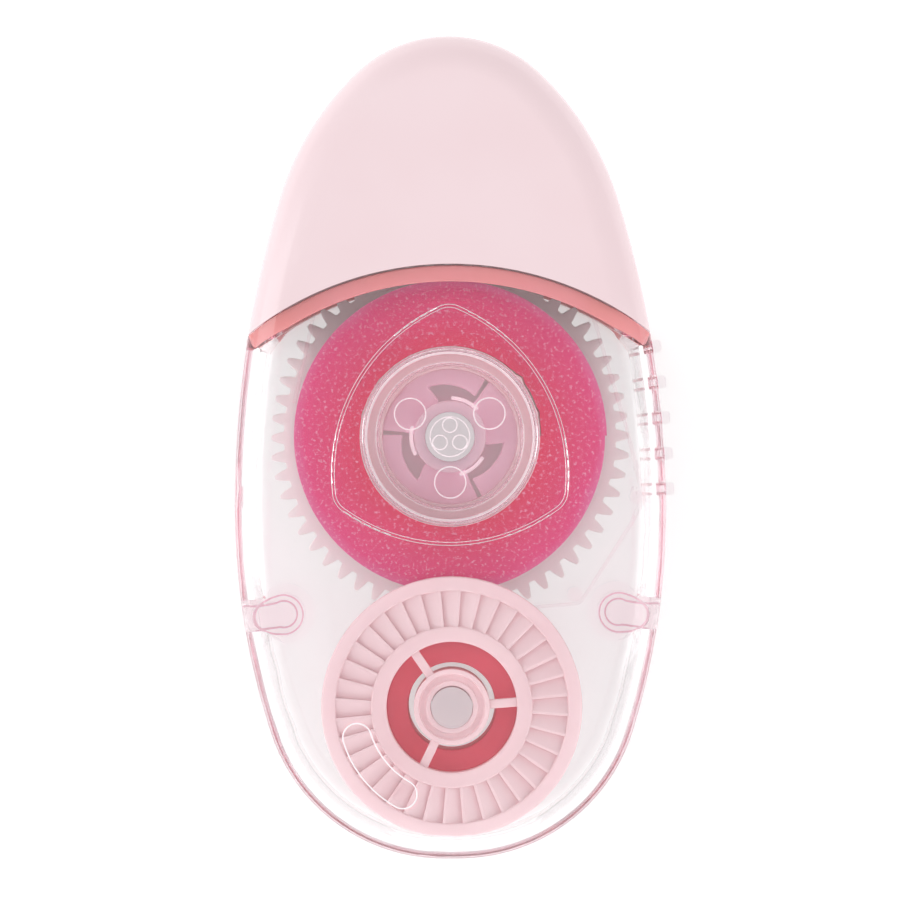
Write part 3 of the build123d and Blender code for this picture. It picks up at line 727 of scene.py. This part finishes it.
# %% Gear wheels
gear_low, gear_high = gear_bottom / MM, gear_bottom / MM + 1.2
supply_gear_wheel = gear_wheel("supply_gear_wheel", tooth_module, supply_teeth, 2.9,
                               gear_low, gear_high, supply_axis, natural_white)
mount(soften(supply_gear_wheel, 0.07), "supply_gear", "natural_white", "supply_gear")
take_up_gear_wheel = gear_wheel("take_up_gear_wheel", tooth_module, take_up_teeth, 3.6,
                                gear_low, gear_high, take_up_axis, gear_rose)
mount(soften(take_up_gear_wheel, 0.07), "take_up", "gear_rose", "take_up_gear")

# %% [markdown]
# ## Slip clutch
# Three springy fingers stand on the supply gear and rub inside the roll's core, so that the roll
# can slip as it empties. Each is a sector with a curved window at its free end and a narrow slit,
# and beside its window a short raised white arc is a painted glint. Fingers and hub carry a painted
# glow as well.


# %% Clutch fingers and hub
def clutch_finger():
    rim, hub = 5.75, 2.9
    free, root, slit = 56, 113, 1.5
    points = [polar(rim, math.radians(a)) for a in range(free + 2, free + 119, 4)]
    points += [polar(3.95, math.radians(free + 120 - slit - 0.6)), polar(hub, math.radians(free + 120))]
    points += [polar(hub, math.radians(a)) for a in range(free + 114, root - 6, -6)]
    points += [polar(3.15, math.radians(root - 6)), polar(4.5, math.radians(root))]
    for step in range(1, 9):
        share = step / 8
        radius = 4.5 - 0.35 * share - 0.2 * share**2
        points.append(polar(radius, math.radians(root + (free + slit - root) * share)))
    return prism(points, gear_high + 0.7, 7.5)


fingers = soften(ring("clutch_fingers", clutch_finger(), 3, 0, supply_axis, clutch_lilac), 0.2, 3)
mount(fingers, "supply_gear", "natural_white")
glint_turns = [math.radians(step * 4 - 22) for step in range(12)]
glint_points = [polar(3.38, turn) for turn in glint_turns] + [polar(3.08, turn) for turn in reversed(glint_turns)]
finger_painted_glints = ring("finger_painted_glints", prism(glint_points, 7.3, 7.75), 3, 66, supply_axis, painted_edge_glint)
mount(soften(finger_painted_glints, 0.12, 3), "supply_gear", "natural_white")
supply_hub = soften(turned("supply_hub", tube(2.06, 3.0, gear_low, 9.45), supply_axis, clutch_lilac), 0.12)
mount(supply_hub, "supply_gear", "natural_white")
core = core_radius / MM
low, high = roll_bottom / MM, roll_top / MM
core_profile = [(5.8, low), (core, low), (core, high), (7.16, high), (7.16, 9.6), (5.8, 9.6)]
supply_core = soften(turned("supply_core_form", core_profile, supply_axis, reel_pink), 0.1)
mount(supply_core, "supply_roll", "reel_pink", "supply_core")


# %% [markdown]
# ## Marks in the bearing well
# The mould's pins leave three round marks in the well's floor and a three-lobed gate mark on its
# button. They are a tenth of a millimetre high, so what the eye gets is the pale glint at their edges,
# drawn here as painted glints: thin glowing rings. The well's rim and foot get such painted glints as
# well, and the two joining bosses get painted pink outlines.


# %% Painted glints at the mould marks
well_floor, button_top, lobe_top = high - 1.3, high - 1.1, high - 0.95
boss_x, boss_y = 13.85, -13.7


def mark_painted_glints(name, radius, reach, start_degrees, level):
    profile = tube(radius - 0.045, radius + 0.045, level, level + 0.05)
    work = turned_form(profile, Vector((reach * MM, 0, 0)), 48)
    lines = ring(name, work, 3, start_degrees, supply_axis, painted_edge_glint)
    mount(lines, "case", "clear_case")


mark_painted_glints("floor_mark_lines", 1.3, 3.8, 30, well_floor + 0.01)
mark_painted_glints("gate_lobe_painted_glints", 0.6, 0.95, 90, lobe_top + 0.01)
for side, name in ((-1, "left"), (1, "right")):
    place = Vector((side * boss_x, boss_y, 0)) * MM
    for radius, level in ((1.1, 9.5), (1.62, 13.5)):
        profile = tube(radius - 0.07, radius + 0.07, level, level + 0.1)
        circle = turned(f"{name}_painted_boss_outline_{level:.0f}", profile, place, painted_boss_outline, 48)
        mount(circle, "case", "clear_case")
for name, radius, level in (("well_rim_painted_glint", 6.03, 16.3), ("well_foot_painted_glint", 6.95, high - 1.85)):
    well_glint = turned(name, tube(radius - 0.1, radius + 0.1, level - 0.04, level), supply_axis, painted_edge_glint)
    mount(well_glint, "case", "clear_case")
button_profile = tube(1.6, 1.69, button_top + 0.01, button_top + 0.05)
button_painted_glint = turned("button_painted_glint", button_profile, supply_axis, painted_edge_glint)
mount(button_painted_glint, "case", "clear_case")


# %% [markdown]
# ## Wound tape
# A roll is one long strip wound in a spiral, and its edge shows every turn. Geometry Nodes draw
# the spiral as a curve, push each turn up or down by a few hundredths of a millimetre as a
# loosely wound strip lies, and sweep the strip's section along it.


# %% Spiral tree
def spiral_tree():
    tree = bpy.data.node_groups.new("wound_strip", "GeometryNodeTree")
    sockets = (("Geometry", "Geometry"), ("Turns", "Float"), ("Inner Radius", "Float"),
               ("Outer Radius", "Float"), ("Strip Thickness", "Float"), ("Strip Width", "Float"),
               ("Unevenness", "Float"), ("Seed", "Float"), ("Centre", "Vector"), ("Finish", "Material"))
    for name, kind in sockets:
        tree.interface.new_socket(name, in_out="INPUT", socket_type="NodeSocket" + kind)
    tree.interface.new_socket("Geometry", in_out="OUTPUT", socket_type="NodeSocketGeometry")
    given = add_node(tree, "NodeGroupInput").outputs
    spiral = add_node(tree, "GeometryNodeCurveSpiral", None, {
        "Resolution": 90, "Rotations": given["Turns"], "Start Radius": given["Inner Radius"],
        "End Radius": given["Outer Radius"], "Height": 0.0})
    along = add_node(tree, "GeometryNodeSplineParameter")
    turn_number = add_node(tree, "ShaderNodeMath", {"operation": "MULTIPLY"},
                           {0: along.outputs["Factor"], 1: given["Turns"]})
    wander = add_node(tree, "ShaderNodeTexNoise", {"noise_dimensions": "2D"}, {"Scale": 0.9, "Detail": 2.0})
    spot = add_node(tree, "ShaderNodeCombineXYZ", None, {"X": turn_number.outputs[0], "Y": given["Seed"]})
    tree.links.new(spot.outputs[0], wander.inputs["Vector"])
    centred = add_node(tree, "ShaderNodeMath", {"operation": "SUBTRACT"}, {0: wander.outputs[0], 1: 0.5})
    lift = add_node(tree, "ShaderNodeMath", {"operation": "MULTIPLY"},
                    {0: centred.outputs[0], 1: given["Unevenness"]})
    offset = add_node(tree, "ShaderNodeCombineXYZ", None, {"Z": lift.outputs[0]})
    moved = add_node(tree, "GeometryNodeSetPosition", None,
                     {"Geometry": spiral.outputs[0], "Offset": offset.outputs[0]})
    upright = add_node(tree, "GeometryNodeSetCurveNormal", {"mode": "Z_UP"}, {"Curve": moved.outputs[0]})
    section = add_node(tree, "GeometryNodeCurvePrimitiveQuadrilateral", None,
                       {"Width": given["Strip Thickness"], "Height": given["Strip Width"]})
    strip = add_node(tree, "GeometryNodeCurveToMesh", None, {
        "Curve": upright.outputs[0], "Profile Curve": section.outputs[0], "Fill Caps": True})
    placed = add_node(tree, "GeometryNodeTransform", None,
                      {"Geometry": strip.outputs[0], "Translation": given["Centre"]})
    real = add_node(tree, "GeometryNodeRealizeInstances", None, {"Geometry": placed.outputs[0]})
    finished = add_node(tree, "GeometryNodeSetMaterial", None,
                        {"Geometry": real.outputs[0], "Material": given["Finish"]})
    add_node(tree, "NodeGroupOutput", None, {"Geometry": finished.outputs[0]})
    return tree


wound_strip = spiral_tree()
print("spiral tree:", len(wound_strip.nodes), "nodes")

# %% [markdown]
# ## The roll and the spent liner
# The full roll takes 36 drawn turns, many fewer than the real film has, because finer ones would
# not show. A few turns of bare liner already lie on the reel's drum.


# %% Winding the strips
def wound(name, turns, inner, outer, axis, material, seed):
    piece = as_piece(name, bmesh.new(), material)
    pitch = (outer - inner) / turns
    thickness = pitch * 0.92
    middle = axis + Vector((0, 0, (roll_bottom + roll_top) / 2))
    run_tree(piece, wound_strip, {
        "Turns": float(turns), "Inner Radius": inner + pitch / 2, "Outer Radius": outer - pitch / 2,
        "Strip Thickness": thickness, "Strip Width": roll_top - roll_bottom - 0.06 * MM,
        "Unevenness": 0.12 * MM, "Seed": float(seed), "Centre": middle, "Finish": material})
    reshade(piece, 40, 0.0005 * MM)
    return piece


tape_winding = wound("tape_winding", 36, core_radius, roll_radius, supply_axis, tape_magenta, 3)
mount(tape_winding, "supply_roll", "tape_magenta", "tape_roll")
winding_radius = size_of("leader_winding")[0]
spent_liner = wound("spent_liner", 4, 6.7 * MM, winding_radius, take_up_axis, liner_film, 8)
mount(spent_liner, "take_up", "liner_film", "leader_winding")

# %% [markdown]
# ## Take-up reel
# The reel that winds up the spent liner is moulded in pale pink: a drum, a flange with a raised
# rim, and a ring of 36 ratchet ramps that click under the case's tongue. Drum and rim are turned
# as one profile, and one ramp and one spoke are repeated.


# %% Take-up reel
drum_in, drum_out = 5.4, 6.7
rim = reel_radius / MM
top = reel_top / MM
flange = top - 0.6
reel_profile = [(drum_in, low), (drum_out, low), (drum_out, flange - 0.8), (rim, flange - 0.8), (rim, top),
                (9.6, top), (9.6, flange), (drum_out, flange), (drum_out, top), (drum_in, top)]
reel_body = soften(turned("reel_body", reel_profile, take_up_axis, reel_pink), 0.16, 3)
mount(reel_body, "take_up", "reel_pink", "take_up_reel")


def ratchet_ramp():
    work = bmesh.new()
    ends = []
    for radius in (drum_out - 0.1, 9.7):
        half = radius * math.tan(math.pi / 36)
        section = ((-half, -0.2), (-half, 0.54), (-half + 0.24, 0.54), (half, 0.1), (half, -0.2))
        ends.append([work.verts.new(Vector((radius, y, flange + z)) * MM) for y, z in section])
    work.faces.new(ends[0])
    work.faces.new(reversed(ends[1]))
    for i in range(5):
        j = (i + 1) % 5
        work.faces.new((ends[0][i], ends[0][j], ends[1][j], ends[1][i]))
    return work


ramps = soften(ring("ratchet_ramps", ratchet_ramp(), 36, 0, take_up_axis, reel_pink, 20), 0.05, 2, 25)
mount(ramps, "take_up", "reel_pink")
spoke = prism([(2.9, -0.375), (5.7, -0.375), (5.7, 0.375), (2.9, 0.375)], flange - 0.8, top - 0.3)
spokes = soften(ring("reel_spokes", spoke, 3, 4, take_up_axis, reel_pink), 0.1, 3)
mount(spokes, "take_up", "reel_pink")
hub_profile = [(1.76, 3.65), (3.15, 3.65), (3.15, top), (2.75, top), (2.68, top - 0.45),
               (2.22, top - 0.45), (2.15, top - 0.15), (1.76, top - 0.15)]
reel_hub = soften(turned("reel_hub", hub_profile, take_up_axis, reel_pink), 0.07, 2, 30)
mount(reel_hub, "take_up", "reel_pink")
collar_profile = tube(3.65, 5.4, gear_low, collar_top / MM)
gear_collar = soften(turned("gear_collar", collar_profile, take_up_axis, gear_rose), 0.1)
mount(gear_collar, "take_up", "gear_rose")

# %% [markdown]
# ## Tape in its path
# Between the wheels the tape is a free strip on its edge: glue tape down to the roller, bare
# liner back from it. The exact strips are already smooth bands.

# %% Strands
mount(smooth_copy("feed_strand", thin_film), "case", "tape_magenta", "feed_strand")
mount(smooth_copy("return_strand", thin_film), "case", "liner_film", "return_strand")

# %% [markdown]
# ## Head and roller
# Under the cap, two acetal plates carry guide pins and a soft roller on a steel axle. The plates
# are smoothly shaded copies; the roller is turned, with a slightly crowned silicone sleeve.

# %% Head and roller
for node in ("head_base", "head_cover"):
    mount(smooth_copy(node, natural_white), "case", "natural_white", node)
mount(smooth_copy("roller_axle", steel), "case", "steel", "roller_axle")
core_outer, core_low, core_high = size_of("roller_core")
sleeve_outer = size_of("roller_sleeve")[0]
bobbin = soften(turned("roller_bobbin", tube(0.66, core_outer / MM, core_low / MM, core_high / MM),
                       roller_axis, natural_white, 64), 0.08)
mount(bobbin, "press_roller", "natural_white", "roller_core")
outer = sleeve_outer / MM
sleeve_profile = [(core_outer / MM, core_low / MM)]
for step in range(9):
    share = step / 8
    crown = 0.06 * (2 * share - 1) ** 2
    sleeve_profile.append((outer - crown, core_low / MM + (core_high - core_low) / MM * share))
sleeve_profile.append((core_outer / MM, core_high / MM))
sleeve = soften(turned("silicone_sleeve", sleeve_profile, roller_axis, roller_rubber, 64), 0.15, 3)
mount(sleeve, "press_roller", "roller_rubber", "roller_sleeve")

# %% [markdown]
# ## Table
# The roller lies on a white table that glows a little, as a product table lit from below does.
# It lies a tenth of a millimetre below the case, because two faces in one plane would leave a ray
# in doubt. Light that is caught in clear walls bounces many times before it gets out, so the
# bounces are many too; with few, the case's edges turn grey.

# %% Table
scene = bpy.context.scene
scene.view_settings.view_transform = "Standard"
scene.cycles.max_bounces = 96
scene.cycles.transmission_bounces = 96
scene.cycles.glossy_bounces = 96
scene.cycles.transparent_max_bounces = 32
table_mesh = bpy.data.meshes.new("table")
drop = -0.1 * MM
table_mesh.from_pydata([(-3, -3, drop), (3, -3, drop), (3, 3, drop), (-3, 3, drop)], [], [(0, 1, 2, 3)])
table = bpy.data.objects.new("table", table_mesh)
scene.collection.objects.link(table)
table_mesh.materials.append(new_material("white_table_lit_from_below", {
    "Base Color": srgb("#DADADA"), "Roughness": 0.9, "Emission Color": srgb("#FFFFFF"),
    "Emission Strength": 0.5})[0])
print("table at", drop / MM, "mm, up to", scene.cycles.max_bounces, "bounces")

# %% [markdown]
# ## Room light and lamps
# A pale room, a little brighter on the left, fills in most of the light. Three large soft lamps,
# the left one strongest, draw the long highlights on the cap and the edges of the case.

# %% Room light and lamps
world = bpy.data.worlds.new("pale room")
scene.world = world
world.use_nodes = True
room = world.node_tree
direction = add_node(room, "ShaderNodeTexCoord")
parts = add_node(room, "ShaderNodeSeparateXYZ", None, {"Vector": direction.outputs["Generated"]})
side = add_node(room, "ShaderNodeMapRange", {"interpolation_type": "SMOOTHSTEP"},
                {"Value": parts.outputs["X"], "From Min": -1.0, "From Max": 1.0,
                 "To Min": 0.8, "To Max": 0.66})
sky = room.nodes["Background"]
sky.inputs["Color"].default_value = (1, 1, 1, 1)
room.links.new(side.outputs["Result"], sky.inputs["Strength"])


def softbox(name, place, width, height, power):
    light = bpy.data.lights.new(name, "AREA")
    light.shape = "RECTANGLE"
    light.size = width
    light.size_y = height
    light.energy = power
    lamp = bpy.data.objects.new(name, light)
    lamp.location = place
    lamp.rotation_euler = (-Vector(place)).to_track_quat("-Z", "Y").to_euler()
    scene.collection.objects.link(lamp)


softbox("left softbox", (-0.6, 0.05, 0.3), 0.25, 0.7, 1.1)
softbox("right softbox", (0.6, -0.05, 0.35), 0.2, 0.6, 0.7)
softbox("tail softbox", (0.05, -0.6, 0.3), 0.5, 0.2, 0.8)
print("lamps:", [light.name for light in bpy.data.lights])

# %% [markdown]
# ## Camera
# The camera looks straight down from 0.8 m through a long lens, 74.9 mm of the table wide, turned
# by a fraction of a degree.

# %% Camera
distance = 0.8
camera_data = bpy.data.cameras.new("camera")
camera_data.lens = camera_data.sensor_width * distance / (74.9 * MM)
camera_data.clip_start = 0.01
camera = bpy.data.objects.new("camera", camera_data)
camera.location = (0, -0.2 * MM, cad_box[1][2] / 2 + distance)
camera.rotation_euler = (0, 0, math.radians(-0.4))
scene.collection.objects.link(camera)
scene.camera = camera
print("lens:", round(camera_data.lens), "mm")
